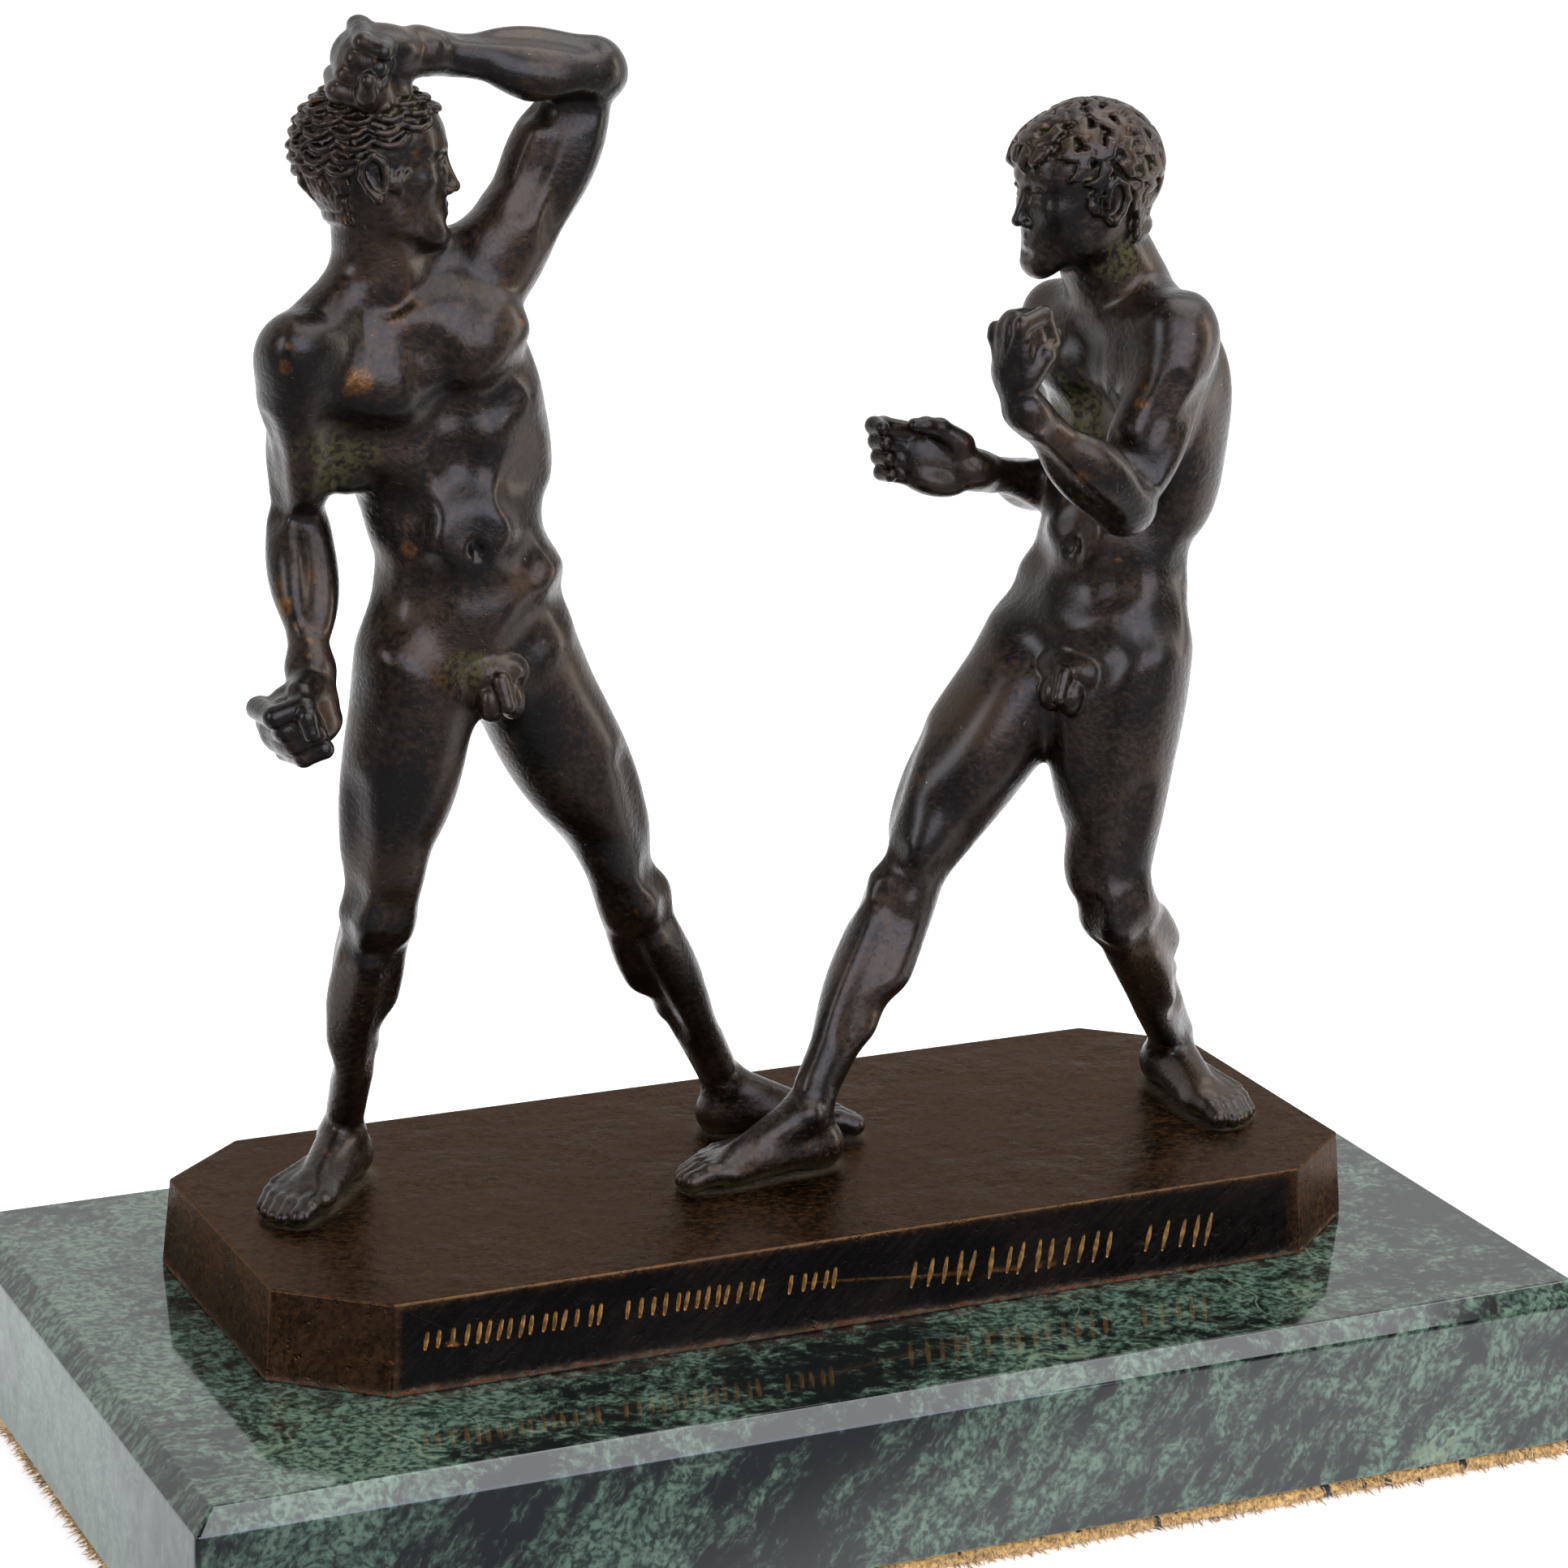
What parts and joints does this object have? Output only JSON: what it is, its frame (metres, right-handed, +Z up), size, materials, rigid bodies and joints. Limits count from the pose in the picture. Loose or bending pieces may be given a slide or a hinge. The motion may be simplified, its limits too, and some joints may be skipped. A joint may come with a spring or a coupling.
{
  "type": "wrestlers sculpture",
  "caption": "Bronze group of nude wrestlers facing each other, one with a fist on his head, on a plinth with cut corners and a bevelled green marble slab.",
  "frame": {"origin": "middle of the footprint, on the underside of the pile cloth", "axes": "+X along the slab's long side, from the wrestler with the raised fist to the lunging one, -Y out of the long front with the inscription, +Z up"},
  "size_m": [0.175, 0.094, 0.1719],
  "materials": {
    "bronze": "dark brown patina, satin, with amber where it is rubbed",
    "bronze_plinth": "dark brown patina, satin, scratched and pitted",
    "green_marble": "polished green serpentine marble with dark mottles and light veins",
    "pile_cloth": "straw-coloured pile cloth with black tufts"
  },
  "bodies": {
    "root": {"wrestler_with_raised_fist": "bronze", "lunging_wrestler": "bronze", "bronze_plinth": "bronze_plinth", "green_marble_slab": "green_marble", "pile_cloth_underlay": "pile_cloth"}
  },
  "joints": []
}
